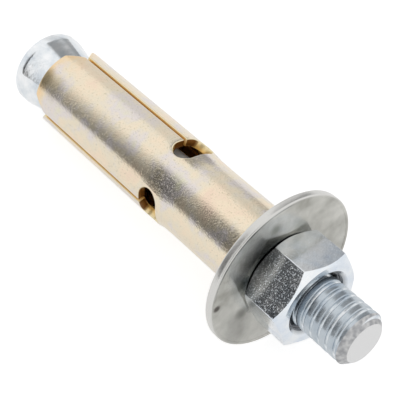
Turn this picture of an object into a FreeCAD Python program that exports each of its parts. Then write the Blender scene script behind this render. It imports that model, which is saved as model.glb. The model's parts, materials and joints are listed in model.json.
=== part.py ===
import FreeCAD, Part
import Sketcher
import math
import os

# Sleeve anchor: a threaded stud with a cone at its tail, a slotted sleeve round the
# stud, a washer and a hexagon nut. Lengths are in millimetres, angles in degrees.
#
# Every piece is drawn on its own Z axis, which is the anchor's axis. Z = 0 is the back
# of the washer and +Z runs to the threaded end. At rest the anchor lies on the rim of
# the washer and the rim of the tail, so the placement at the end tips that axis.

SIZES = [
    ("ThreadDiameter", "7.9", "outside of the thread"),
    ("ShankDiameter", "7.1", "plain shank between the thread and the cone"),
    ("ThreadPitch", "1.411", "from one crest of the thread to the next"),
    ("ThreadDepth", "0.47", "flat crest of the thread to its root"),
    ("ThreadFlank", "30", "side of the groove to a plane across the stud"),
    ("ThreadLength", "20.9", "threaded part, from the stud's end"),
    ("StudBeyondNut", "8.25", "stud that stands out of the nut"),
    ("EndChamfer", "0.95", "chamfer on the threaded end"),
    ("ConeAngle", "11.5", "slope of the cone to the axis"),
    ("TailLand", "1.75", "straight band behind the cone"),
    ("TailEdge", "0.5", "chamfer on the tail's rim"),
    ("SleeveLength", "47.3", "whole sleeve"),
    ("SleeveDiameter", "12.7", "outside of the sleeve over its leaves"),
    ("NeckDiameter", "12.1", "outside of the sleeve beside the washer"),
    ("NeckLength", "16.9", "narrower end of the sleeve"),
    ("NeckTaper", "1.8", "step from the neck to the leaves"),
    ("SleeveWall", "1.2", "thickness of the rolled strip"),
    ("TailInset", "0.35", "tail's rim inside the sleeve's outside, in the same drilled hole"),
    ("SeamGap", "0.5", "gap where the rolled strip's edges meet"),
    ("WindowPlace", "19.8", "sleeve's front edge to the windows' middle"),
    ("WindowWidth", "6.7", "window, round the sleeve"),
    ("WindowLength", "3.6", "window, along the sleeve"),
    ("SlotWidth", "0.6", "slot between two leaves"),
    ("SlotSpacing", "116.5", "angle from one slot to the next"),
    ("MouthWidth", "5.2", "slot's flared mouth at the leaf tips"),
    ("MouthDepth", "2", "flare of the slot's mouth"),
    ("WasherDiameter", "24", "outside of the washer"),
    ("WasherThickness", "1.2", "washer"),
    ("WasherEdge", "0.25", "broken edge of the washer's rim"),
    ("WasherClearance", "0.4", "washer's bore to the thread"),
    ("AcrossFlats", "12.7", "nut across its flats"),
    ("NutHeight", "7", "nut"),
    ("NutFace", "11.4", "round face inside the nut's corner chamfer"),
    ("CornerAngle", "30", "corner chamfer to the nut's face"),
    ("MouthDiameter", "10.2", "countersink in the nut's face"),
    ("CountersinkDepth", "1", "countersink in the nut's face"),
    ("ThreadClearance", "0.05", "nut's bore to the thread"),
    ("SeatGap", "0.05", "between pieces that bear on each other"),
    ("ConeClearance", "0.1", "leaf tips to the cone"),
    ("SlotTurn", "154.5", "first slot, turned from straight down"),
    ("NutTurn", "13.25", "nut's corner, turned from straight down"),
]

doc = FreeCAD.newDocument("SleeveAnchor")
sheet = doc.addObject("Spreadsheet::Sheet", "Sizes")
for row, (alias, value, meaning) in enumerate(SIZES, start=1):
    sheet.set("A%d" % row, alias)
    sheet.set("B%d" % row, value)
    sheet.setAlias("B%d" % row, alias)
    sheet.set("C%d" % row, meaning)
doc.recompute()


def cell(formula):
    """Writes a formula of size names as an expression on the sheet."""
    words = formula.replace("(", "( ").replace(")", " )").split()
    names = [alias for alias, value, meaning in SIZES]
    return " ".join("<<Sizes>>." + word if word in names else word for word in words)


def size(alias):
    """Reads one size as a number."""
    return float(sheet.get(alias))


# Places along the axis, each worked out from the sizes
NUT_BACK = "( WasherThickness + SeatGap )"
NUT_FRONT = "( WasherThickness + SeatGap + NutHeight )"
STUD_END = "( WasherThickness + SeatGap + NutHeight + StudBeyondNut )"
SLEEVE_FRONT = "( 0 - SeatGap )"
SLEEVE_TIP = "( 0 - SeatGap - SleeveLength )"
TAIL_RADIUS = "( SleeveDiameter / 2 - TailInset )"
CONE_AT_TIP = "( SleeveDiameter / 2 - SleeveWall - ConeClearance )"
CONE_FRONT = SLEEVE_TIP + " + ( " + CONE_AT_TIP + " - ShankDiameter / 2 ) / tan( ConeAngle )"
CONE_BACK = SLEEVE_TIP + " - ( " + TAIL_RADIUS + " - " + CONE_AT_TIP + " ) / tan( ConeAngle )"
TAIL_END = CONE_BACK + " - TailLand"


def addBody(label):
    body = doc.addObject("PartDesign::Body", label)
    body.Label = label
    return body


def addSketch(body, name, role):
    """Adds a sketch on one of the body's origin planes."""
    sketch = body.newObject("Sketcher::SketchObject", name)
    plane = [item for item in body.Origin.OriginFeatures if item.Role == role][0]
    sketch.AttachmentSupport = [(plane, "")]
    sketch.MapMode = "FlatFace"
    return sketch


def bindLast(sketch, formula):
    """Ties the newest constraint to the sizes."""
    sketch.setExpression("Constraints[%d]" % (sketch.ConstraintCount - 1), cell(formula))


def placePoint(sketch, line, along, up):
    """Ties the start point of a line to two formulas, across and up the sketch."""
    for kind, axis, formula in (("DistanceX", -2, along), ("DistanceY", -1, up)):
        if formula == "0":
            sketch.addConstraint(Sketcher.Constraint("PointOnObject", line, 1, axis))
        else:
            value = float(sketch.evalExpression(cell(formula)))
            sketch.addConstraint(Sketcher.Constraint(kind, -1, 1, line, 1, value))
            bindLast(sketch, formula)


def addOutline(sketch, corners):
    """Draws a closed outline whose corners are pairs of formulas."""
    points = []
    for along, up in corners:
        x, y = (float(sketch.evalExpression(cell(part))) for part in (along, up))
        points.append(FreeCAD.Vector(x, y, 0))
    first = sketch.GeometryCount
    count = len(points)
    for index in range(count):
        segment = Part.LineSegment(points[index], points[(index + 1) % count])
        sketch.addGeometry(segment, False)
    for index in range(count):
        nextLine = first + (index + 1) % count
        sketch.addConstraint(Sketcher.Constraint("Coincident", first + index, 2, nextLine, 1))
    for index, (along, up) in enumerate(corners):
        placePoint(sketch, first + index, along, up)


def addCircle(sketch, formula):
    """Draws a circle on the axis, with a diameter tied to the sizes."""
    radius = float(sketch.evalExpression(cell(formula))) / 2
    circle = sketch.addGeometry(Part.Circle(FreeCAD.Vector(), FreeCAD.Vector(0, 0, 1), radius), False)
    sketch.addConstraint(Sketcher.Constraint("Coincident", circle, 3, -1, 1))
    sketch.addConstraint(Sketcher.Constraint("Diameter", circle, 2 * radius))
    bindLast(sketch, formula)
    return circle


def addRevolved(body, kind, name, sketch):
    """Turns a sketch round the anchor's axis, as material or as a cut."""
    feature = body.newObject(kind, name)
    feature.Profile = sketch
    feature.ReferenceAxis = (sketch, ["V_Axis"])
    feature.Angle = 360
    return feature


def edgesAt(feature, radius, height):
    """Names a feature's round edges of one radius at one height."""
    names = []
    for index, edge in enumerate(feature.Shape.Edges, start=1):
        curve = edge.Curve
        if not isinstance(curve, Part.Circle) or abs(curve.Radius - radius) > 1e-4:
            continue
        if abs(curve.Center.z - height) < 1e-4:
            names.append("Edge%d" % index)
    return names


def formulaValue(formula):
    return float(sheet.evalExpression(cell(formula)))


def addStud():
    """Threaded stud, turned with its shank, cone and tail in one piece."""
    body = addBody("stud")
    sketch = addSketch(body, "StudProfile", "XZ_Plane")
    threadEnd = STUD_END + " - ThreadLength"
    addOutline(sketch, [
        ("0", STUD_END),
        ("ThreadDiameter / 2", STUD_END),
        ("ThreadDiameter / 2", threadEnd),
        ("ShankDiameter / 2", threadEnd + " - ( ThreadDiameter - ShankDiameter ) / 2"),
        ("ShankDiameter / 2", CONE_FRONT),
        (TAIL_RADIUS, CONE_BACK),
        (TAIL_RADIUS, TAIL_END),
        ("0", TAIL_END),
    ])
    turned = addRevolved(body, "PartDesign::Revolution", "StudTurned", sketch)
    doc.recompute()

    threadEdges = edgesAt(turned, size("ThreadDiameter") / 2, formulaValue(STUD_END))
    chamfer = body.newObject("PartDesign::Chamfer", "ThreadedEndChamfer")
    chamfer.Base = (turned, threadEdges)
    chamfer.setExpression("Size", cell("EndChamfer"))
    body.Tip = chamfer
    doc.recompute()

    tailEdges = edgesAt(chamfer, formulaValue(TAIL_RADIUS), formulaValue(TAIL_END))
    tailChamfer = body.newObject("PartDesign::Chamfer", "TailChamfer")
    tailChamfer.Base = (chamfer, tailEdges)
    tailChamfer.setExpression("Size", cell("TailEdge"))
    body.Tip = tailChamfer
    doc.recompute()

    # The rolled thread has wide flat crests, so its groove is a narrow V. The groove is
    # wound from where the thread stops to a pitch past the stud's end.
    groove = addSketch(body, "ThreadGroove", "XZ_Plane")
    start = "( " + threadEnd + " )"
    past = "ThreadDiameter / 2 + ThreadDepth / 4"
    half = "( ThreadDepth * 5 / 4 * tan( ThreadFlank ) )"
    addOutline(groove, [
        ("ThreadDiameter / 2 - ThreadDepth", start),
        (past, start + " + " + half),
        (past, start + " - " + half),
    ])
    thread = body.newObject("PartDesign::SubtractiveHelix", "RolledThread")
    thread.Profile = groove
    thread.ReferenceAxis = (groove, ["V_Axis"])
    thread.Mode = "pitch-height-angle"
    thread.setExpression("Pitch", cell("ThreadPitch"))
    thread.setExpression("Height", cell("ThreadLength + ThreadPitch"))
    body.Tip = thread
    return body


def addSleeve():
    """Rolled sleeve: a seam, three slots from the tail, and a window that ends each slot."""
    body = addBody("sleeve")
    neckEnd = SLEEVE_FRONT + " - NeckLength"
    leafStart = neckEnd + " - NeckTaper"
    wall = addSketch(body, "WallProfile", "XZ_Plane")
    addOutline(wall, [
        ("NeckDiameter / 2", SLEEVE_FRONT),
        ("NeckDiameter / 2", neckEnd),
        ("SleeveDiameter / 2", leafStart),
        ("SleeveDiameter / 2", SLEEVE_TIP),
        ("SleeveDiameter / 2 - SleeveWall", SLEEVE_TIP),
        ("SleeveDiameter / 2 - SleeveWall", leafStart),
        ("NeckDiameter / 2 - SleeveWall", neckEnd),
        ("NeckDiameter / 2 - SleeveWall", SLEEVE_FRONT),
    ])
    # The strip is rolled about the middle slot's side, which puts the seam opposite
    turn = FreeCAD.Rotation(FreeCAD.Vector(0, 1, 0), 1)
    wall.AttachmentOffset = FreeCAD.Placement(FreeCAD.Vector(), turn)
    wall.setExpression("AttachmentOffset.Rotation.Angle", cell("SlotSpacing"))
    rolled = addRevolved(body, "PartDesign::Revolution", "RolledStrip", wall)
    rolled.Midplane = True
    seamAngle = "360 - 360 * SeamGap / ( pi * SleeveDiameter )"
    rolled.setExpression("Angle", cell(seamAngle))
    body.Tip = rolled

    window = addSketch(body, "WindowOutline", "YZ_Plane")
    windowPlace = SLEEVE_FRONT + " - WindowPlace"
    straight = "( WindowWidth - WindowLength ) / 2"
    reach = size("WindowWidth") / 2 - size("WindowLength") / 2
    radius = size("WindowLength") / 2
    middle = formulaValue(windowPlace)
    ahead = FreeCAD.Vector(0, 0, 1)
    right = Part.Circle(FreeCAD.Vector(reach, middle, 0), ahead, radius)
    left = Part.Circle(FreeCAD.Vector(-reach, middle, 0), ahead, radius)
    window.addGeometry(Part.ArcOfCircle(right, -math.pi / 2, math.pi / 2), False)
    window.addGeometry(Part.ArcOfCircle(left, math.pi / 2, 3 * math.pi / 2), False)
    top, bottom = middle + radius, middle - radius
    for side, height in ((reach, top), (-reach, bottom)):
        start, end = FreeCAD.Vector(side, height, 0), FreeCAD.Vector(-side, height, 0)
        window.addGeometry(Part.LineSegment(start, end), False)
    for arc, arcEnd, line, lineEnd in ((0, 2, 2, 1), (2, 2, 1, 1), (1, 2, 3, 1), (3, 2, 0, 1)):
        window.addConstraint(Sketcher.Constraint("Tangent", arc, arcEnd, line, lineEnd))
    window.addConstraint(Sketcher.Constraint("Symmetric", 0, 3, 1, 3, -2))
    window.addConstraint(Sketcher.Constraint("DistanceY", -1, 1, 0, 3, middle))
    bindLast(window, windowPlace)
    window.addConstraint(Sketcher.Constraint("DistanceX", -1, 1, 0, 3, reach))
    bindLast(window, straight)
    window.addConstraint(Sketcher.Constraint("Radius", 0, radius))
    bindLast(window, "WindowLength / 2")

    slot = addSketch(body, "SlotOutline", "YZ_Plane")
    mouthStart = SLEEVE_TIP + " + MouthDepth"
    pastTip = SLEEVE_TIP + " - MouthDepth"
    pastMouth = "MouthWidth - SlotWidth / 2"
    addOutline(slot, [
        ("SlotWidth / 2", windowPlace),
        ("SlotWidth / 2", mouthStart),
        (pastMouth, pastTip),
        ("0 - ( " + pastMouth + " )", pastTip),
        ("0 - SlotWidth / 2", mouthStart),
        ("0 - SlotWidth / 2", windowPlace),
    ])

    cuts = []
    for name, outline in (("Window", window), ("Slot", slot)):
        cut = body.newObject("PartDesign::Pocket", name)
        cut.Profile = outline
        cut.setExpression("Length", cell("SleeveDiameter"))
        cut.Reversed = True
        body.Tip = cut
        cuts.append(cut)
        doc.recompute()

    pattern = body.newObject("PartDesign::PolarPattern", "ThreeSlots")
    pattern.Originals = cuts
    pattern.Axis = (wall, ["V_Axis"])
    pattern.Occurrences = 3
    pattern.setExpression("Angle", cell("2 * SlotSpacing"))
    body.Tip = pattern
    return body


def addWasher():
    body = addBody("washer")
    ring = addSketch(body, "WasherRing", "XY_Plane")
    addCircle(ring, "WasherDiameter")
    addCircle(ring, "ThreadDiameter + 2 * WasherClearance")
    disc = body.newObject("PartDesign::Pad", "WasherDisc")
    disc.Profile = ring
    disc.setExpression("Length", cell("WasherThickness"))
    doc.recompute()

    radius = size("WasherDiameter") / 2
    rim = edgesAt(disc, radius, 0) + edgesAt(disc, radius, size("WasherThickness"))
    chamfer = body.newObject("PartDesign::Chamfer", "WasherEdges")
    chamfer.Base = (disc, rim)
    chamfer.setExpression("Size", cell("WasherEdge"))
    body.Tip = chamfer
    return body


def addNut():
    """Hexagon nut, chamfered on the corners of both faces and countersunk at both ends."""
    body = addBody("nut")
    hexagon = addSketch(body, "NutHexagon", "XY_Plane")
    hexagon.AttachmentOffset = FreeCAD.Placement(FreeCAD.Vector(0, 0, 1), FreeCAD.Rotation())
    hexagon.setExpression("AttachmentOffset.Base.z", cell(NUT_BACK))
    corner = size("AcrossFlats") / 2 / math.cos(math.pi / 6)
    points = []
    for step in range(6):
        angle = step * math.pi / 3
        points.append(FreeCAD.Vector(corner * math.cos(angle), corner * math.sin(angle), 0))
    for step in range(6):
        hexagon.addGeometry(Part.LineSegment(points[step], points[(step + 1) % 6]), False)
    guide = hexagon.addGeometry(Part.Circle(FreeCAD.Vector(), FreeCAD.Vector(0, 0, 1), corner), True)
    hexagon.addConstraint(Sketcher.Constraint("Coincident", guide, 3, -1, 1))
    for step in range(6):
        hexagon.addConstraint(Sketcher.Constraint("Coincident", step, 2, (step + 1) % 6, 1))
        hexagon.addConstraint(Sketcher.Constraint("PointOnObject", step, 1, guide))
    for step in range(1, 6):
        hexagon.addConstraint(Sketcher.Constraint("Equal", 0, step))
    hexagon.addConstraint(Sketcher.Constraint("Horizontal", 1))
    hexagon.addConstraint(Sketcher.Constraint("Diameter", guide, 2 * corner))
    bindLast(hexagon, "AcrossFlats / cos( 30 )")
    block = body.newObject("PartDesign::Pad", "NutBlock")
    block.Profile = hexagon
    block.setExpression("Length", cell("NutHeight"))
    body.Tip = block
    doc.recompute()

    corners = addSketch(body, "CornerChamfers", "XZ_Plane")
    pastCorner = "AcrossFlats"
    drop = "( AcrossFlats - NutFace / 2 ) * tan( CornerAngle )"
    for face, sign in ((NUT_FRONT, "-"), (NUT_BACK, "+")):
        addOutline(corners, [
            ("NutFace / 2", face),
            (pastCorner, face),
            (pastCorner, face + " " + sign + " " + drop),
        ])
    chamfers = addRevolved(body, "PartDesign::Groove", "NutChamfers", corners)
    body.Tip = chamfers
    doc.recompute()

    bore = addSketch(body, "BoreProfile", "XZ_Plane")
    boreRadius = "ThreadDiameter / 2 + ThreadClearance"
    addOutline(bore, [
        ("0", NUT_FRONT),
        ("MouthDiameter / 2", NUT_FRONT),
        (boreRadius, NUT_FRONT + " - CountersinkDepth"),
        (boreRadius, NUT_BACK + " + CountersinkDepth"),
        ("MouthDiameter / 2", NUT_BACK),
        ("0", NUT_BACK),
    ])
    hole = addRevolved(body, "PartDesign::Groove", "NutBore", bore)
    body.Tip = hole
    return body


def restingPlacement():
    """Tips the axis so that the washer's rim and the tail's rim both touch the ground.

    In section each rim touches at the corner where its back chamfer meets its outside.
    """
    washerRadius, tailRadius = size("WasherDiameter") / 2, formulaValue(TAIL_RADIUS)
    washerZ, tailZ = size("WasherEdge"), formulaValue(TAIL_END) + size("TailEdge")
    tilt = math.atan2(washerRadius - tailRadius, washerZ - tailZ)

    height = tailRadius * math.cos(tilt) - tailZ * math.sin(tilt)
    endRadius = size("ThreadDiameter") / 2 - size("EndChamfer")
    farX = formulaValue(STUD_END) * math.cos(tilt) + endRadius * math.sin(tilt)
    backRadius = tailRadius - size("TailEdge")
    nearX = formulaValue(TAIL_END) * math.cos(tilt) - backRadius * math.sin(tilt)
    base = FreeCAD.Vector(-(farX + nearX) / 2, 0, height)
    tipped = FreeCAD.Rotation(FreeCAD.Vector(0, 1, 0), 90 - math.degrees(tilt))
    print("tilt", round(math.degrees(tilt), 4), "axis point", base)
    return base, tipped


def failed(item):
    return "Invalid" in item.State or "Error" in item.State


bodies = [addStud(), addSleeve(), addWasher(), addNut()]
doc.recompute()
base, tipped = restingPlacement()
turns = {"sleeve": size("SlotTurn"), "nut": size("NutTurn")}
for body in bodies:
    spin = FreeCAD.Rotation(FreeCAD.Vector(0, 0, 1), turns.get(body.Label, 0))
    body.Placement = FreeCAD.Placement(base, tipped.multiply(spin))
doc.recompute()

broken = [item.Label for item in doc.Objects if failed(item)]
if broken:
    raise RuntimeError("features that failed: " + ", ".join(broken))

os.makedirs("parts", exist_ok=True)
for body in bodies:
    shape = body.Shape
    if shape.isNull() or not shape.isValid():
        raise RuntimeError(body.Label + " has no sound shape")
    shape.exportStep("parts/" + body.Label + ".step")
    box = shape.optimalBoundingBox(False)
    print(body.Label, "solids", len(shape.Solids), "volume", round(shape.Volume, 2),
          "x", round(box.XMin, 3), round(box.XMax, 3), "y", round(box.YMin, 3), round(box.YMax, 3),
          "z", round(box.ZMin, 3), round(box.ZMax, 3))
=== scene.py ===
import bmesh
import bpy
import json
import math
from mathutils import Euler, Matrix, Vector


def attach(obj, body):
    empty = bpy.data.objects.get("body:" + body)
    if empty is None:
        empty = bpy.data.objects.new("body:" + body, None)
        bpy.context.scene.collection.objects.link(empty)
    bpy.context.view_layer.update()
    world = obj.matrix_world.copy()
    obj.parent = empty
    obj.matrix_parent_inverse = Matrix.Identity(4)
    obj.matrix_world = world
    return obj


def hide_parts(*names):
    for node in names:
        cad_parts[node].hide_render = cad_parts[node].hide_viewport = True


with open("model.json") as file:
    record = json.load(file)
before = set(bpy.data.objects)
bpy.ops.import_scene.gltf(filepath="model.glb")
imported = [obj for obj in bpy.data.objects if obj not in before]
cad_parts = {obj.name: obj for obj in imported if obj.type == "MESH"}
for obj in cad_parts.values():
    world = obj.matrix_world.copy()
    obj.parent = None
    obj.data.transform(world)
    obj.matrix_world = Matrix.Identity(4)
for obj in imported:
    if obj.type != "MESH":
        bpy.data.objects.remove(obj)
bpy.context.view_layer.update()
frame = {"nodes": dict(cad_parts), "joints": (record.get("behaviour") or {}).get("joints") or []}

print("stage: frame loaded,", len(frame["nodes"]), "solids")

# The anchor's own frame: millimetres, Z along the anchor towards its threaded end,
# zero at the washer's back, X towards the ground side
nutJoint = [joint for joint in frame["joints"] if joint["name"] == "nut_turn"][0]
anchorAxis = Vector(nutJoint["axis"]).normalized()
groundSide = Vector((anchorAxis.z, 0, -anchorAxis.x))
anchorTurn = Matrix((groundSide, Vector((0, 1, 0)), anchorAxis)).transposed()
toMetres = 0.001
anchorPlace = Matrix.Translation(Vector(nutJoint["pos_m"])) @ anchorTurn.to_4x4() @ Matrix.Scale(toMetres, 4)
mergeGap = 0.0005  # points nearer to each other than this, in millimetres, become one


def measureNode(name):
    # lowest and highest place along the anchor and the widest radius, in millimetres
    inverse = anchorPlace.inverted()
    points = [inverse @ vertex.co for vertex in frame["nodes"][name].data.vertices]
    heights = [point.z for point in points]
    return min(heights), max(heights), max(point.xy.length for point in points)


def newObject(name, bm):
    mesh = bpy.data.meshes.new(name)
    bm.to_mesh(mesh)
    bm.free()
    made = bpy.data.objects.new(name, mesh)
    bpy.context.scene.collection.objects.link(made)
    return made


def closeMesh(bm):
    # one point where several meet, and faces that point outwards
    bmesh.ops.remove_doubles(bm, verts=bm.verts, dist=mergeGap)
    bmesh.ops.recalc_face_normals(bm, faces=bm.faces)


def addPiece(name, bm, body, node, material, smoothAngle):
    # the finished mesh goes to its place in metres, and its object stays at the origin
    closeMesh(bm)
    bmesh.ops.transform(bm, matrix=anchorPlace, verts=bm.verts)
    piece = newObject(name, bm)
    piece.data.shade_smooth()
    bpy.context.view_layer.objects.active = piece
    piece.select_set(True)
    bpy.ops.object.shade_smooth_by_angle(angle=math.radians(smoothAngle))
    piece.select_set(False)
    piece.data.materials.append(material)
    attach(piece, body)
    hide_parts(node)
    print("piece:", name, len(piece.data.polygons), "faces")


def addProfile(bm, corners):
    # a line of edges in the XZ plane from (radius, height) pairs
    verts = [bm.verts.new((radius, 0, height)) for radius, height in corners]
    edges = [bm.edges.new(pair) for pair in zip(verts, verts[1:])]
    return verts + edges


def lathe(bm, corners, steps):
    bmesh.ops.spin(bm, geom=addProfile(bm, corners), cent=(0, 0, 0), axis=(0, 0, 1), angle=math.tau,
                   steps=steps, use_merge=True)


def cutMesh(bm, place, way, drop=False):
    # a plane cuts new edges, and what lies past it may be dropped
    bmesh.ops.bisect_plane(bm, geom=bm.verts[:] + bm.edges[:] + bm.faces[:], plane_co=place, plane_no=way,
                           clear_outer=drop)


def srgb(code):
    # hex colour to linear
    channels = [int(code[i:i + 2], 16) / 255 for i in (1, 3, 5)]
    linear = [c / 12.92 if c <= 0.04045 else ((c + 0.055) / 1.055) ** 2.4 for c in channels]
    return (*linear, 1)


def addNode(tree, kind, values=None, links=None, stops=None, **settings):
    node = tree.nodes.new(kind)
    for name, value in settings.items():
        setattr(node, name, value)
    for key, value in (values or {}).items():
        node.inputs[key].default_value = value
    for key, socket in (links or {}).items():
        tree.links.new(socket, node.inputs[key])
    if stops:
        while len(node.color_ramp.elements) < len(stops):
            node.color_ramp.elements.new(1)
        for element, (place, code) in zip(node.color_ramp.elements, stops):
            element.position = place
            element.color = srgb(code)
    return node


def newMaterial(name):
    # a metal surface with coordinates in the anchor's own frame, in millimetres
    material = bpy.data.materials.new(name)
    material.use_nodes = True
    tree = material.node_tree
    tree.nodes.clear()
    place = addNode(tree, "ShaderNodeTexCoord")
    local = addNode(tree, "ShaderNodeMapping",
                    {"Location": Vector(nutJoint["pos_m"]), "Rotation": anchorTurn.to_euler(),
                     "Scale": (toMetres, toMetres, toMetres)},
                    {"Vector": place.outputs["Object"]}, vector_type="TEXTURE")
    shader = addNode(tree, "ShaderNodeBsdfPrincipled", {"Metallic": 1.0})
    addNode(tree, "ShaderNodeOutputMaterial", links={"Surface": shader.outputs[0]})
    return material, tree, local.outputs[0], shader


def distanceOut(tree, coords):
    # how far a point lies from the anchor's axis, in millimetres
    across = addNode(tree, "ShaderNodeVectorMath", {1: (1, 1, 0)}, {0: coords}, operation="MULTIPLY")
    return addNode(tree, "ShaderNodeVectorMath", links={0: across.outputs[0]}, operation="LENGTH").outputs[1]


# Plated steel: patches of tint that also change the gloss, over layers of relief. Each layer is
# its size in millimetres, its height in micrometres and the range of the noise that it uses.
# The real crystals are finer than the render can show, so the smallest layers are coarser.
plating = {"glossNoise": (0.3, 0.7), "reliefUnit": 1e-6}


def finishMetal(tree, coords, shader, look):
    patches = addNode(tree, "ShaderNodeTexNoise",
                      {"Scale": 1 / look["patchMm"], "Detail": 3.0, "Roughness": 0.55}, {"Vector": coords})
    tint = addNode(tree, "ShaderNodeValToRGB", links={0: patches.outputs[0]}, stops=look["tints"])
    height = None
    for size, depth, low, high in look["relief"]:
        noise = addNode(tree, "ShaderNodeTexNoise", {"Scale": 1 / size, "Detail": 1.5}, {"Vector": coords})
        layer = addNode(tree, "ShaderNodeMapRange", {"From Min": low, "From Max": high, "To Max": depth},
                        {"Value": noise.outputs[0]})
        if height:
            layer = addNode(tree, "ShaderNodeMath", links={0: height, 1: layer.outputs[0]}, operation="ADD")
        height = layer.outputs[0]
    bump = addNode(tree, "ShaderNodeBump", {"Strength": 1.0, "Distance": plating["reliefUnit"]},
                   {"Height": height})
    tree.links.new(bump.outputs[0], shader.inputs["Normal"])
    if "gloss" in look:
        low, high = plating["glossNoise"]
        smooth, dull = look["gloss"]
        gloss = addNode(tree, "ShaderNodeMapRange",
                        {"From Min": low, "From Max": high, "To Min": smooth, "To Max": dull},
                        {"Value": patches.outputs[0]})
        tree.links.new(gloss.outputs[0], shader.inputs["Roughness"])
    return tint.outputs[0], patches.outputs[0]


def addSoftSpots(tree, coords, colour, softSpots):
    # soft spots of colour, such as stains and smears, and on the washer also painted shade of the nut: each
    # is its angle round the anchor in degrees, its distance out and height, the distances from it where it
    # ends and where it is full, its strength and its colour
    for degrees, out, height, reach, core, strength, code in softSpots:
        angle = math.radians(degrees)
        spot = Vector((out * math.cos(angle), out * math.sin(angle), height))
        away = addNode(tree, "ShaderNodeVectorMath", {1: spot}, {0: coords}, operation="DISTANCE")
        share = addNode(tree, "ShaderNodeMapRange", {"From Min": reach, "From Max": core, "To Max": strength},
                        {"Value": away.outputs[1]}, interpolation_type="SMOOTHSTEP")
        colour = addNode(tree, "ShaderNodeMix", {7: srgb(code)}, {0: share.outputs[0], 6: colour},
                         data_type="RGBA").outputs[2]
    return colour


# Bright zinc on the stud: bluish electroplate, nearly mirror smooth with a fine grain. Heights are
# along the anchor, and depths are below the threaded end.
studLook = {"patchMm": 2.2, "tints": [(0.3, "#D2D9E0"), (0.5, "#E8ECEF"), (0.7, "#F6F7F8")],
            "relief": [(0.25, 3, 0.2, 0.8), (1.2, 6, 0.2, 0.8)],
            "rolled": "#CED4D9", "rolledHeights": (-6, -4), "crestRadii": (3.65, 3.85),
            "turned": [(0.35, "#9C9DA0"), (0.65, "#C8C8C8")], "turnedMm": 0.714, "turnedEdge": (-0.09, -0.02),
            "sheared": "#DFDFDF", "shearedDepths": (0.03, 0.005),
            "platedRough": 0.1, "rolledRough": 0.1, "turnedRough": 0.15,
            "shankHeights": (-44, -42), "shankDull": 0.5}


def makeStudMaterial():
    look = studLook
    material, tree, coords, shader = newMaterial("brightZincStud")
    tint = finishMetal(tree, coords, shader, look)[0]
    end = measureNode("stud")[1]
    height = addNode(tree, "ShaderNodeSeparateXYZ", links={0: coords}).outputs[2]
    out = distanceOut(tree, coords)
    # rolled thread is greyer than the cone
    threadStart, threadFull = look["rolledHeights"]
    rolledShare = addNode(tree, "ShaderNodeMapRange", {"From Min": threadStart, "From Max": threadFull},
                          {"Value": height})
    start, full = look["crestRadii"]
    crestShare = addNode(tree, "ShaderNodeMapRange", {"From Min": start, "From Max": full}, {"Value": out})
    worn = addNode(tree, "ShaderNodeMath", links={0: rolledShare.outputs[0], 1: crestShare.outputs[0]},
                   operation="MULTIPLY")
    rolled = addNode(tree, "ShaderNodeMix", {7: srgb(look["rolled"])}, {0: worn.outputs[0], 6: tint},
                     data_type="RGBA", blend_type="MULTIPLY")
    # its end chamfer is turned rough: height and distance out add up to the same all over it
    chamfer = studParts["threadRadius"] - studParts["endChamfer"] + end
    above = addNode(tree, "ShaderNodeMath", {1: chamfer}, {0: height}, operation="SUBTRACT")
    past = addNode(tree, "ShaderNodeMath", links={0: above.outputs[0], 1: out}, operation="ADD")
    start, full = look["turnedEdge"]
    turnedShare = addNode(tree, "ShaderNodeMapRange", {"From Min": start, "From Max": full},
                          {"Value": past.outputs[0]})
    mottle = addNode(tree, "ShaderNodeTexNoise", {"Scale": 1 / look["turnedMm"], "Detail": 2.0},
                     {"Vector": coords})
    mottled = addNode(tree, "ShaderNodeValToRGB", links={0: mottle.outputs[0]}, stops=look["turned"])
    turned = addNode(tree, "ShaderNodeMix", links={0: turnedShare.outputs[0], 6: rolled.outputs[2],
                     7: mottled.outputs[0]}, data_type="RGBA")
    # and its end is sheared flat
    start, full = look["shearedDepths"]
    shearedShare = addNode(tree, "ShaderNodeMapRange", {"From Min": end - start, "From Max": end - full},
                           {"Value": height})
    sheared = addNode(tree, "ShaderNodeMix", {7: srgb(look["sheared"])},
                      {0: shearedShare.outputs[0], 6: turned.outputs[2]}, data_type="RGBA")
    tree.links.new(sheared.outputs[2], shader.inputs["Base Color"])
    smooth = addNode(tree, "ShaderNodeMath", {1: look["rolledRough"], 2: look["platedRough"]},
                     {0: rolledShare.outputs[0]}, operation="MULTIPLY_ADD")
    rough = addNode(tree, "ShaderNodeMath", {1: look["turnedRough"]},
                    {0: turnedShare.outputs[0], 2: smooth.outputs[0]}, operation="MULTIPLY_ADD")
    tree.links.new(rough.outputs[0], shader.inputs["Roughness"])
    # the shank inside the sleeve never gets polished, so it shows grey through the windows
    start, full = look["shankHeights"]
    shankFrom = addNode(tree, "ShaderNodeMapRange", {"From Min": start, "From Max": full}, {"Value": height})
    shankTo = addNode(tree, "ShaderNodeMapRange", {"From Min": threadFull, "From Max": threadStart},
                      {"Value": height})
    shank = addNode(tree, "ShaderNodeMath", links={0: shankFrom.outputs[0], 1: shankTo.outputs[0]},
                    operation="MULTIPLY")
    metal = addNode(tree, "ShaderNodeMath", {1: -look["shankDull"], 2: 1.0}, {0: shank.outputs[0]},
                    operation="MULTIPLY_ADD")
    tree.links.new(metal.outputs[0], shader.inputs["Metallic"])
    return material


# Bright zinc on the nut: the same plating over a forged, grainier surface
nutLook = {"patchMm": 3.5, "tints": [(0.3, "#D8E1EC"), (0.5, "#E9EEF3"), (0.7, "#F6F7F8")],
           "relief": [(0.2, 3, 0.2, 0.8), (1.6, 8, 0.2, 0.8), (0.22, 6, 0.58, 0.7)], "gloss": (0.11, 0.16),
           "recessShade": "#606266", "recessShadeRadii": (5.1, 4.3)}


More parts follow.
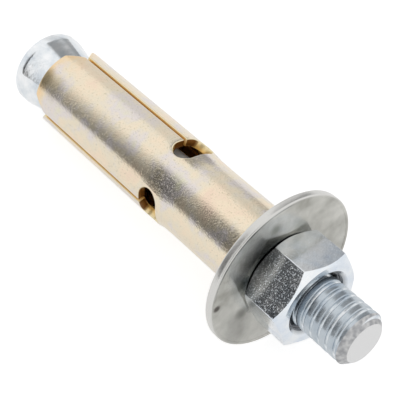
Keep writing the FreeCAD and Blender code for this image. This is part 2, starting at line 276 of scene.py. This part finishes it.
def makeNutMaterial():
    material, tree, coords, shader = newMaterial("brightZincNut")
    tint = finishMetal(tree, coords, shader, nutLook)[0]
    # painted shade: the countersinks are painted darker towards the bore
    start, full = nutLook["recessShadeRadii"]
    recessShadeShare = addNode(tree, "ShaderNodeMapRange", {"From Min": start, "From Max": full},
                       {"Value": distanceOut(tree, coords)})
    recessShaded = addNode(tree, "ShaderNodeMix", {7: srgb(nutLook["recessShade"])}, {0: recessShadeShare.outputs[0], 6: tint},
                    data_type="RGBA")
    tree.links.new(recessShaded.outputs[2], shader.inputs["Base Color"])
    return material


# Dull zinc on the washer: warm grey, rubbed and matt, with stains and smears of handling, painted shade
# beside the nut and a painted highlight on its rim
washerLook = {"patchMm": 4.0, "tints": [(0.3, "#9E9D96"), (0.5, "#B9B8B2"), (0.7, "#CDCCC6")],
              "relief": [(0.3, 5, 0.2, 0.8), (3, 10, 0.2, 0.8)], "gloss": (0.19, 0.27),
              "rim": "#D8D7D4", "rimHighlightRadii": (11.78, 11.9),
              # the broad soft spots at 203 and 300 degrees beside the nut are painted shade where the washer
              # mirrors the nut; the small ones are stains, smears and a nick at the rim
              "softSpots": [(203, 7.6, 1.2, 5.2, 0.6, 0.6, "#4A4A49"),
                        (262, 11.0, 1.2, 0.75, 0.25, 0.9, "#4A4440"),
                        (247, 7.1, 1.2, 1.3, 0.2, 0.6, "#55554E"),
                        (291, 7.6, 1.2, 1.5, 0.2, 0.65, "#55554E"),
                        (300, 9.5, 1.2, 4.5, 0.5, 0.35, "#6C6C68"),
                        (185, 9.0, 1.2, 1.2, 0.2, 0.5, "#6E6F5E"),
                        (154, 7.6, 1.2, 1.8, 0.3, 0.4, "#7C7C6C")]}


def makeWasherMaterial():
    material, tree, coords, shader = newMaterial("dullZincWasher")
    tint = finishMetal(tree, coords, shader, washerLook)[0]
    # painted highlight: the rounded rim is painted brighter than the faces
    start, full = washerLook["rimHighlightRadii"]
    rimHighlightShare = addNode(tree, "ShaderNodeMapRange", {"From Min": start, "From Max": full},
                       {"Value": distanceOut(tree, coords)})
    rimHighlighted = addNode(tree, "ShaderNodeMix", {7: srgb(washerLook["rim"])}, {0: rimHighlightShare.outputs[0], 6: tint},
                     data_type="RGBA")
    spotted = addSoftSpots(tree, coords, rimHighlighted.outputs[2], washerLook["softSpots"])
    tree.links.new(spotted, shader.inputs["Base Color"])
    return material


# Yellow passivated zinc on the sleeve: pale gold that drifts to pink, lilac and green. Heights are
# along the anchor, mouth heights above the tail edge and wall depths below the front edge.
sleeveLook = {"patchMm": 5.0, "tints": [(0.3, "#F0DAC4"), (0.4, "#F1E0C7"), (0.52, "#EBE0CA"),
              (0.62, "#E4DCD8"), (0.74, "#E6E1C9")],
              "relief": [(0.24, 6, 0.2, 0.8), (2.5, 4, 0.2, 0.8), (0.26, 5.5, 0.56, 0.7)],
              "gloss": (0.13, 0.18),
              "speck": "#8A7B5C", "speckMm": 0.25, "speckNoise": (0.62, 0.75), "speckStrength": 0.28,
              "endGlow": "#F5CB8E", "endHeights": (-39.0, -44.0), "endWave": 9.0, "endStrength": 0.6,
              # the cut faces' ramp is their yellow film with a painted highlight at the rim and painted shade
              # going brown with depth
              "cuts": [(0.0, "#FFF2CC"), (0.14, "#FFE6AC"), (0.3, "#FFD078"), (0.5, "#E4AA4E"),
                       (1.0, "#7A501F")], "cutFacing": (0.96, 0.88), "cutFilm": 0.65,
              "openingShadeFade": 0.3, "windowHeights": (-22.3, -22.0), "mouthHeights": (2.6, 2.2),
              # the dark wall colour is painted shade on cut faces that face the threaded end
              "upWallShade": "#7C5022", "upWallShadeFacing": (0.75, 0.92), "upWallShadeDepths": (2, 4),
              "softSpots": [(220, 6.35, -46.8, 2.4, 0.5, 0.75, "#85795A"),
                        (223, 6.35, -44.2, 2.6, 0.5, 0.4, "#A2977A")]}


def makeSleeveMaterial():
    look = sleeveLook
    material, tree, coords, shader = newMaterial("yellowZincSleeve")
    tint, patches = finishMetal(tree, coords, shader, look)
    tail, front, radius = measureNode("sleeve")
    height = addNode(tree, "ShaderNodeSeparateXYZ", links={0: coords}).outputs[2]
    specks = addNode(tree, "ShaderNodeTexNoise", {"Scale": 1 / look["speckMm"], "Detail": 1.0},
                     {"Vector": coords})
    start, full = look["speckNoise"]
    speckShare = addNode(tree, "ShaderNodeMapRange",
                         {"From Min": start, "From Max": full, "To Max": look["speckStrength"]},
                         {"Value": specks.outputs[0]})
    speckled = addNode(tree, "ShaderNodeMix", {7: srgb(look["speck"])}, {0: speckShare.outputs[0], 6: tint},
                       data_type="RGBA")
    # the bath left more yellow towards the tail edge
    wavy = addNode(tree, "ShaderNodeMath", {1: look["endWave"]}, {0: patches, 2: height},
                   operation="MULTIPLY_ADD")
    start, full = look["endHeights"]
    endShare = addNode(tree, "ShaderNodeMapRange",
                       {"From Min": start, "From Max": full, "To Max": look["endStrength"]},
                       {"Value": wavy.outputs[0]}, interpolation_type="SMOOTHSTEP")
    glowing = addNode(tree, "ShaderNodeMix", {7: srgb(look["endGlow"])},
                      {0: endShare.outputs[0], 6: speckled.outputs[2]}, data_type="RGBA")
    spotted = addSoftSpots(tree, coords, glowing.outputs[2], look["softSpots"])
    # cut edges hold more of the yellow film: they are the faces that don't point outwards
    flat = addNode(tree, "ShaderNodeVectorMath", {1: (1, 1, 0)}, {0: coords}, operation="MULTIPLY")
    outward = addNode(tree, "ShaderNodeVectorMath", links={0: flat.outputs[0]}, operation="NORMALIZE")
    place = addNode(tree, "ShaderNodeTexCoord")
    normal = addNode(tree, "ShaderNodeMapping", {"Rotation": anchorTurn.to_euler()},
                     {"Vector": place.outputs["Normal"]}, vector_type="TEXTURE")
    facing = addNode(tree, "ShaderNodeVectorMath", links={0: outward.outputs[0], 1: normal.outputs[0]},
                     operation="DOT_PRODUCT")
    start, full = look["cutFacing"]
    cutShare = addNode(tree, "ShaderNodeMapRange", {"From Min": start, "From Max": full},
                       {"Value": facing.outputs[1]})
    # their yellow film gets a painted highlight at their rims and painted shade that goes brown inwards, more
    # slowly in the windows and at the tail
    depth = addNode(tree, "ShaderNodeMath", {0: radius}, {1: distanceOut(tree, coords)}, operation="SUBTRACT")
    start, full = look["windowHeights"]
    windowShadeFade = addNode(tree, "ShaderNodeMapRange",
                         {"From Min": start, "From Max": full, "To Min": 1.0, "To Max": look["openingShadeFade"]},
                         {"Value": height})
    start, full = look["mouthHeights"]
    mouthShadeFade = addNode(tree, "ShaderNodeMapRange", {"From Min": tail + start, "From Max": tail + full,
                        "To Min": 1.0, "To Max": look["openingShadeFade"]}, {"Value": height})
    fade = addNode(tree, "ShaderNodeMath", links={0: windowShadeFade.outputs[0], 1: mouthShadeFade.outputs[0]},
                   operation="MULTIPLY")
    cutShadeDepth = addNode(tree, "ShaderNodeMath", links={0: depth.outputs[0], 1: fade.outputs[0]},
                    operation="MULTIPLY")
    cutFilmShaded = addNode(tree, "ShaderNodeValToRGB", links={0: cutShadeDepth.outputs[0]}, stops=look["cuts"])
    # painted shade: those that face the threaded end are painted dark all through, except on the front edge
    # itself
    faceUp = addNode(tree, "ShaderNodeSeparateXYZ", links={0: normal.outputs[0]})
    start, full = look["upWallShadeDepths"]
    inside = addNode(tree, "ShaderNodeMapRange", {"From Min": front - start, "From Max": front - full},
                     {"Value": height})
    start, full = look["upWallShadeFacing"]
    upWallShadeShare = addNode(tree, "ShaderNodeMapRange", {"From Min": start, "From Max": full},
                       {"Value": faceUp.outputs[2], "To Max": inside.outputs[0]})
    wall = addNode(tree, "ShaderNodeMix", {7: srgb(look["upWallShade"])},
                   {0: upWallShadeShare.outputs[0], 6: cutFilmShaded.outputs[0]}, data_type="RGBA")
    gold = addNode(tree, "ShaderNodeMix", links={0: cutShare.outputs[0], 6: spotted, 7: wall.outputs[2]},
                   data_type="RGBA")
    tree.links.new(gold.outputs[2], shader.inputs["Base Color"])
    # the film on cut edges is thick and dull, so it shows its own colour more than reflections
    film = addNode(tree, "ShaderNodeMath", {1: -look["cutFilm"], 2: 1.0}, {0: cutShare.outputs[0]},
                   operation="MULTIPLY_ADD")
    tree.links.new(film.outputs[0], shader.inputs["Metallic"])
    return material


# Sleeve: a flat blank with three notches from its tail edge, bevelled and then rolled
sleeveParts = {"wall": 1.2, "seamGap": 0.5, "neckRadius": 6.05, "neckLength": 16.9, "neckTaper": 1.8,
               "windowPlace": 19.8, "windowWidth": 6.7, "windowLength": 3.6, "slotWidth": 0.6,
               "slotSpacing": 116.5, "slotTurn": 154.5, "mouthWidth": 5.2, "mouthDepth": 2.0,
               "edgeAngle": 70, "edgeRound": 0.16, "ringGap": 0.1, "arcSteps": 12, "rollStep": 3.5,
               "lengthStep": 2.4}


def notchOutline(front, tip, middle):
    # one notch of the flat blank, walked from its one side at the tail edge to the other
    parts = sleeveParts
    half, slot = parts["mouthWidth"] / 2, parts["slotWidth"] / 2
    radius = parts["windowLength"] / 2
    reach = parts["windowWidth"] / 2 - radius
    centre = front - parts["windowPlace"]
    lowSide = centre - radius
    points = [(middle + half, tip), (middle + slot, tip + parts["mouthDepth"]), (middle + slot, lowSide)]
    for step in range(parts["arcSteps"] + 1):
        angle = -math.pi / 2 + math.pi * step / parts["arcSteps"]
        points.append((middle + reach + radius * math.cos(angle), centre + radius * math.sin(angle)))
    mirrored = [(2 * middle - across, height) for across, height in reversed(points)]
    return points + mirrored


def rollRadius(height, front, sleeveRadius):
    # outside radius along the sleeve: the neck beside the washer is a little narrower
    parts = sleeveParts
    start = front - parts["neckLength"]
    share = min(max((start - height) / parts["neckTaper"], 0), 1)
    return parts["neckRadius"] + (sleeveRadius - parts["neckRadius"]) * share * share * (3 - 2 * share)


def makeSleeve(material):
    parts = sleeveParts
    tip, front, sleeveRadius = measureNode("sleeve")
    around = math.tau * sleeveRadius
    # across the blank is the distance round the sleeve from its middle slot
    edge = (around - parts["seamGap"]) / 2
    spacing = around * parts["slotSpacing"] / 360
    outline = [(-edge, tip), (-edge, front), (edge, front), (edge, tip)]
    for middle in (spacing, 0, -spacing):
        outline += notchOutline(front, tip, middle)
    bm = bmesh.new()
    blank = bm.faces.new([bm.verts.new((across, height, 0)) for across, height in outline])
    thick = bmesh.ops.extrude_face_region(bm, geom=[blank])
    raised = [item for item in thick["geom"] if isinstance(item, bmesh.types.BMVert)]
    bmesh.ops.translate(bm, verts=raised, vec=(0, 0, -parts["wall"]))
    bmesh.ops.recalc_face_normals(bm, faces=bm.faces)
    # the sharp edges that lie in the outer or the inner face
    sharp = [item for item in bm.edges if item.calc_face_angle(0) > math.radians(parts["edgeAngle"])]
    rims = [item for item in sharp if abs(item.verts[0].co.z - item.verts[1].co.z) < parts["wall"] / 2]
    bmesh.ops.bevel(bm, geom=rims, offset=parts["edgeRound"], segments=3, profile=0.5, affect="EDGES",
                    material=-1)
    cuts = int(2 * edge / (sleeveRadius * math.radians(parts["rollStep"])))
    for step in range(1, cuts):
        cutMesh(bm, (-edge + 2 * edge * step / cuts, 0, 0), (1, 0, 0))
    rows = int((front - tip) / parts["lengthStep"])
    heights = [tip + (front - tip) * step / rows for step in range(1, rows)]
    # one more ring beside each end keeps the shading straight up to its rounded edge
    beside = parts["edgeRound"] + parts["ringGap"]
    for height in heights + [tip + beside, front - beside]:
        cutMesh(bm, (0, height, 0), (0, 1, 0))
    middleSlot = math.radians(parts["slotTurn"] + parts["slotSpacing"])
    for vertex in bm.verts:
        across, height, depth = vertex.co
        angle = middleSlot + across / sleeveRadius
        radius = rollRadius(height, front, sleeveRadius) + depth
        vertex.co = (radius * math.cos(angle), radius * math.sin(angle), height)
    addPiece("rolledSleeve", bm, "sleeve", "sleeve", material, 35)


# Washer: punched disc, its rim rounded and its bore loose on the thread
washerParts = {"boreRadius": 4.35, "rimRound": 0.22, "rimSteps": 5, "boreRound": 0.15, "boreSteps": 3,
               "lipWidth": 0.2, "lipHeight": 0.05, "lipSlope": 0.12, "lipDip": 0.02, "steps": 180}


def arcPoints(centreRadius, centreHeight, radius, start, end, steps):
    # points on a quarter round, angles in degrees from straight outwards
    points = []
    for step in range(steps + 1):
        angle = math.radians(start + (end - start) * step / steps)
        points.append((centreRadius + radius * math.cos(angle), centreHeight + radius * math.sin(angle)))
    return points


def makeWasher(material):
    parts = washerParts
    back, front, rim = measureNode("washer")
    big, small, bore = parts["rimRound"], parts["boreRound"], parts["boreRadius"]
    corners = arcPoints(rim - big, back + big, big, -90, 0, parts["rimSteps"])
    corners += arcPoints(rim - big, front - big, big, 0, 90, parts["rimSteps"])
    # the punch left a faint raised lip inside the front edge
    face = front - parts["lipHeight"]
    lip = rim - big - parts["lipWidth"]
    slope = parts["lipSlope"]
    corners += [(lip, front), (lip - slope / 2, face - parts["lipDip"]), (lip - slope, face)]
    corners += arcPoints(bore + small, face - small, small, 90, 180, parts["boreSteps"])
    corners += arcPoints(bore + small, back + small, small, 180, 270, parts["boreSteps"])
    bm = bmesh.new()
    lathe(bm, corners + corners[:1], parts["steps"])
    addPiece("washerDisc", bm, "washer", "washer", material, 50)


# Nut: hexagon with corner chamfers, countersinks and the rim of its thread's first turn, given as
# pairs of a radius and a depth below the front face
nutParts = {"acrossFlats": 12.7, "faceRadius": 6.1, "steepRadius": 6.4, "steepDrop": 0.28, "cornerAngle": 33,
            "mouthRadius": 5.1, "mouthDepth": 1.0, "boreRadius": 4.0,
            "firstTurn": [(4.35, 0.75), (4.62, 0.82), (4.66, 0.7), (4.6, 0.45)],
            "turn": 13.25, "edgeRound": 0.12, "ringReach": 1.2, "steps": 96}


def makeNut(material):
    parts = nutParts
    back, front = measureNode("nut")[:2]
    height = front - back
    corner = parts["acrossFlats"] / 2 / math.cos(math.pi / 6)
    bm = bmesh.new()
    bmesh.ops.create_cone(bm, cap_ends=True, segments=6, radius1=corner, radius2=corner, depth=height,
                          matrix=Matrix.Translation((0, 0, (front + back) / 2)))
    # the cone's first corner is at 90 degrees, so a turn from 30 brings one to the nut's own angle
    turn = Matrix.Rotation(math.radians(parts["turn"] - 30), 3, "Z")
    bmesh.ops.rotate(bm, verts=bm.verts, cent=(0, 0, 0), matrix=turn)
    uprights = [item for item in bm.edges if abs(item.verts[0].co.z - item.verts[1].co.z) > height / 2]
    bmesh.ops.bevel(bm, geom=uprights, offset=parts["edgeRound"], segments=3, profile=0.5, affect="EDGES",
                    material=-1)
    block = newObject("nutBlock", bm)

    # what is kept is the inside of a turned ring: chamfer cones outside, bore and countersinks inside
    face, steep, steepDrop = parts["faceRadius"], parts["steepRadius"], parts["steepDrop"]
    mouth, mouthDepth, bore = parts["mouthRadius"], parts["mouthDepth"], parts["boreRadius"]
    reach = corner * parts["ringReach"]
    drop = steepDrop + (reach - steep) * math.tan(math.radians(parts["cornerAngle"]))
    corners = [(face, front), (steep, front - steepDrop), (reach, front - drop), (reach, back + drop),
               (steep, back + steepDrop), (face, back), (mouth, back), (bore, back + mouthDepth),
               (bore, front - mouthDepth)]
    corners += [(radius, front - depth) for radius, depth in parts["firstTurn"]] + [(mouth, front)]
    bm = bmesh.new()
    lathe(bm, corners + corners[:1], parts["steps"])
    closeMesh(bm)
    ring = newObject("nutRing", bm)

    keep = block.modifiers.new("keepInside", "BOOLEAN")
    keep.operation = "INTERSECT"
    keep.solver = "EXACT"
    keep.object = ring
    depsgraph = bpy.context.evaluated_depsgraph_get()
    bm = bmesh.new()
    bm.from_mesh(block.evaluated_get(depsgraph).to_mesh())
    bpy.data.objects.remove(block)
    bpy.data.objects.remove(ring)
    addPiece("hexNut", bm, "nut", "nut", material, 18)


# Stud: rolled thread, plain shank, cone and tail. Each pair of the groove is a depth below the crest
# and a height. Those of the cone's edge and the tail's round are a distance inwards from the tail's
# radius and a height, above the cone's back end or above the tail.
studParts = {"pitch": 1.411, "threadEnd": -4.4, "threadRadius": 3.95, "threadSteps": 72, "fade": 0.4,
             "groove": [(0.55, 0.0), (0.5, 0.05), (0.12, 0.235), (0.045, 0.275), (0.012, 0.315),
                        (0.002, 0.37), (0.0, 0.45)],
             "endChamfer": 0.95, "endRings": (0.95, 0.475, 0.25), "shankRadius": 3.55, "joinGap": 0.3,
             "coneAngle": 11.5, "coneEase": 0.3, "coneEdge": [(0.02, 0.08), (0.0, -0.06), (0.0, -0.2)],
             "tailLand": 1.75, "tailRound": [(0.0, 0.54), (0.03, 0.45), (0.45, 0.03), (0.54, 0.0)]}


def threadProfile(start):
    # one pitch of the rolled thread, from the root of one groove to the next: wide crests
    # with rounded edges
    crest, pitch, groove = studParts["threadRadius"], studParts["pitch"], studParts["groove"]
    rise = [(crest - depth, start + height) for depth, height in groove]
    fall = [(crest - depth, start + pitch - height) for depth, height in reversed(groove)]
    return rise + fall


def makeStud(material):
    parts = studParts
    tail, end, tailRadius = measureNode("stud")
    crest, shank, threadEnd = parts["threadRadius"], parts["shankRadius"], parts["threadEnd"]
    pitch, steps = parts["pitch"], parts["threadSteps"]
    start = threadEnd - 2 * pitch
    turns = math.ceil((end - start) / pitch) + 1
    bm = bmesh.new()
    # the profile is wound once round the stud, rising by one pitch, and that turn is then stacked
    bmesh.ops.spin(bm, geom=addProfile(bm, threadProfile(start)), cent=(0, 0, 0), axis=(0, 0, 1),
                   dvec=(0, 0, pitch / steps), angle=math.tau, steps=steps)
    firstTurn = bm.verts[:] + bm.edges[:] + bm.faces[:]
    for count in range(1, turns):
        nextTurn = bmesh.ops.duplicate(bm, geom=firstTurn)["geom"]
        raised = [item for item in nextTurn if isinstance(item, bmesh.types.BMVert)]
        bmesh.ops.translate(bm, verts=raised, vec=(0, 0, pitch * count))
    bmesh.ops.remove_doubles(bm, verts=bm.verts, dist=mergeGap)
    for depth in parts["endRings"]:
        cutMesh(bm, (0, 0, end - depth), (0, 0, 1))
    cutMesh(bm, (0, 0, end), (0, 0, 1), drop=True)
    cutMesh(bm, (0, 0, threadEnd), (0, 0, -1), drop=True)
    # the thread fades into the shank, and the end chamfer takes its last turn down
    for vertex in bm.verts:
        radius = vertex.co.xy.length
        limit = crest - parts["endChamfer"] + end - vertex.co.z
        share = min(max((vertex.co.z - threadEnd) / parts["fade"], 0), 1)
        wanted = min(shank + (radius - shank) * share, limit)
        vertex.co.x *= wanted / radius
        vertex.co.y *= wanted / radius
    slope = math.tan(math.radians(parts["coneAngle"]))
    coneBack = tail + parts["tailLand"]
    coneFront = coneBack + (tailRadius - shank) / slope
    ease = parts["coneEase"]
    corners = [(shank, threadEnd - parts["joinGap"]), (shank, coneFront),
               (shank + ease * slope, coneFront - ease), (tailRadius - ease * slope, coneBack + ease)]
    corners += [(tailRadius - inwards, coneBack + height) for inwards, height in parts["coneEdge"]]
    corners += [(tailRadius - inwards, tail + height) for inwards, height in parts["tailRound"]] + [(0, tail)]
    lathe(bm, corners, steps)
    bmesh.ops.remove_doubles(bm, verts=bm.verts, dist=mergeGap)
    # the threaded end is closed by a flat face, and a short band joins thread and shank
    openEdges = [edge for edge in bm.edges if edge.is_boundary]
    bmesh.ops.edgenet_fill(bm, edges=[edge for edge in openEdges if edge.verts[0].co.z > 0])
    bmesh.ops.bridge_loops(bm, edges=[edge for edge in openEdges if edge.verts[0].co.z <= 0])
    addPiece("threadedStud", bm, "stud", "stud", material, 32)


studMaterial = makeStudMaterial()
nutMaterial = makeNutMaterial()
washerMaterial = makeWasherMaterial()
sleeveMaterial = makeSleeveMaterial()
print("stage: materials made")

makeSleeve(sleeveMaterial)
makeWasher(washerMaterial)
makeNut(nutMaterial)
makeStud(studMaterial)
print("stage: pieces made")

# Floor: white paper that keeps a soft shadow, with light of its own for the camera and the metal
floorLook = {"size": 3.0, "paper": "#C8C8C8", "glow": 0.68, "mirroredGlow": 0.48}


def makeFloor():
    bm = bmesh.new()
    bmesh.ops.create_grid(bm, x_segments=1, y_segments=1, size=floorLook["size"] / 2)
    floor = newObject("paperFloor", bm)
    material = bpy.data.materials.new("whitePaper")
    material.use_nodes = True
    tree = material.node_tree
    tree.nodes.clear()
    paper = addNode(tree, "ShaderNodeBsdfDiffuse", {"Color": srgb(floorLook["paper"])})
    ray = addNode(tree, "ShaderNodeLightPath")
    mirrored = addNode(tree, "ShaderNodeMath", {1: floorLook["mirroredGlow"]},
                       {0: ray.outputs["Is Glossy Ray"]}, operation="MULTIPLY")
    level = addNode(tree, "ShaderNodeMath", {1: floorLook["glow"]},
                    {0: ray.outputs["Is Camera Ray"], 2: mirrored.outputs[0]}, operation="MULTIPLY_ADD")
    glow = addNode(tree, "ShaderNodeEmission", links={"Strength": level.outputs[0]})
    both = addNode(tree, "ShaderNodeAddShader", links={0: paper.outputs[0], 1: glow.outputs[0]})
    addNode(tree, "ShaderNodeOutputMaterial", links={"Surface": both.outputs[0]})
    floor.data.materials.append(material)


makeFloor()

# Light tent: white all round, with a dimmer side, darker gaps between its panels and a dark opening
# for the camera, which the metal mirrors as its dark bands. Later panels lie over earlier ones.
# Angles are round the anchor in degrees, from the side that faces the camera, and near and far are
# along it, from -1 at the tail to 1 at the threaded end. Each edge is a pair: where it starts and
# where it is full. What is seen is extra light for the camera alone.
tent = {"turn": 207.2, "level": 1.25, "seen": 0.3, "panels": {
    "sideDim": {"level": 1.0, "low": (-170, -140), "high": (-56, -70),
                "near": (-0.28, -0.34), "far": (-0.9, -0.8)},
    "backGap": {"level": 0.42, "low": (-114, -98), "high": (-42, -52),
                "near": (-0.28, -0.34), "far": (-0.5, -0.43)},
    "coneGap": {"level": 0.45, "low": (-138, -118), "high": (-84, -104),
                "near": (-0.43, -0.455), "far": (-0.54, -0.5)},
    "frontGap": {"level": 0.03, "low": (-16, 10), "high": (96, 44),
                 "near": (-0.398, -0.408), "far": (-0.58, -0.5)},
    "sleeveGap": {"level": 0.31, "low": (-16, 42), "high": (58, 50),
                  "near": (-0.5, -0.56), "far": (-0.714, -0.692)},
    "cameraGap": {"level": 0.05, "low": (-30, -10), "high": (62, 50),
                  "near": (0.68, 0.58), "far": (0.22, 0.3)}}}


def addPanel(tree, angle, along, under, panel):
    # blends one panel or gap of the tent over the light level under it
    low, high = [[math.radians(degrees) for degrees in panel[side]] for side in ("low", "high")]
    share = None
    edges = [(angle, low), (angle, high), (along, panel["near"]), (along, panel["far"])]
    for socket, (outside, inside) in edges:
        edge = addNode(tree, "ShaderNodeMapRange", {"From Min": outside, "From Max": inside},
                       {"Value": socket}, interpolation_type="SMOOTHSTEP")
        if share:
            edge = addNode(tree, "ShaderNodeMath", links={0: share, 1: edge.outputs[0]}, operation="MULTIPLY")
        share = edge.outputs[0]
    return addNode(tree, "ShaderNodeMix", {3: panel["level"]}, {0: share, 2: under}).outputs[0]


def makeWorld():
    world = bpy.data.worlds.new("lightTent")
    bpy.context.scene.world = world
    world.use_nodes = True
    tree = world.node_tree
    tree.nodes.clear()
    turn = (anchorTurn @ Matrix.Rotation(math.radians(tent["turn"]), 3, "Z")).to_euler()
    place = addNode(tree, "ShaderNodeTexCoord")
    way = addNode(tree, "ShaderNodeMapping", {"Rotation": turn}, {"Vector": place.outputs["Generated"]},
                  vector_type="TEXTURE")
    split = addNode(tree, "ShaderNodeSeparateXYZ", links={0: way.outputs[0]})
    angle = addNode(tree, "ShaderNodeMath", links={0: split.outputs[1], 1: split.outputs[0]},
                    operation="ARCTAN2")
    level = addNode(tree, "ShaderNodeValue")
    level.outputs[0].default_value = tent["level"]
    light = level.outputs[0]
    for panel in tent["panels"].values():
        light = addPanel(tree, angle.outputs[0], split.outputs[2], light, panel)
    # only mirrored rays see the panels, and the camera itself sees plain white behind the floor
    ray = addNode(tree, "ShaderNodeLightPath")
    strength = addNode(tree, "ShaderNodeMix", {2: 1.0}, {0: ray.outputs["Is Glossy Ray"], 3: light})
    seen = addNode(tree, "ShaderNodeMath", {1: tent["seen"]},
                   {0: ray.outputs["Is Camera Ray"], 2: strength.outputs[0]}, operation="MULTIPLY_ADD")
    sky = addNode(tree, "ShaderNodeBackground", links={"Strength": seen.outputs[0]})
    addNode(tree, "ShaderNodeOutputWorld", links={"Surface": sky.outputs[0]})


makeWorld()
print("stage: light made")

# Camera: long lens, looking down on the anchor from its threaded end
cameraSet = {"azimuth": 50.823, "elevation": 52.935, "place": (0.0804348, -0.0631726, 0.1425474),
             "lens": 108.0, "sensor": 36, "clipStart": 0.005}


def makeCamera():
    camera = bpy.data.cameras.new("productCamera")
    camera.lens = cameraSet["lens"]
    camera.sensor_width = cameraSet["sensor"]
    camera.clip_start = cameraSet["clipStart"]
    holder = bpy.data.objects.new("productCamera", camera)
    bpy.context.scene.collection.objects.link(holder)
    azimuth, elevation = math.radians(cameraSet["azimuth"]), math.radians(cameraSet["elevation"])
    holder.rotation_euler = Euler((math.pi / 2 - elevation, 0, azimuth))
    holder.location = cameraSet["place"]
    bpy.context.scene.camera = holder


makeCamera()
bpy.context.scene.view_settings.view_transform = "Standard"

print("stage: done")
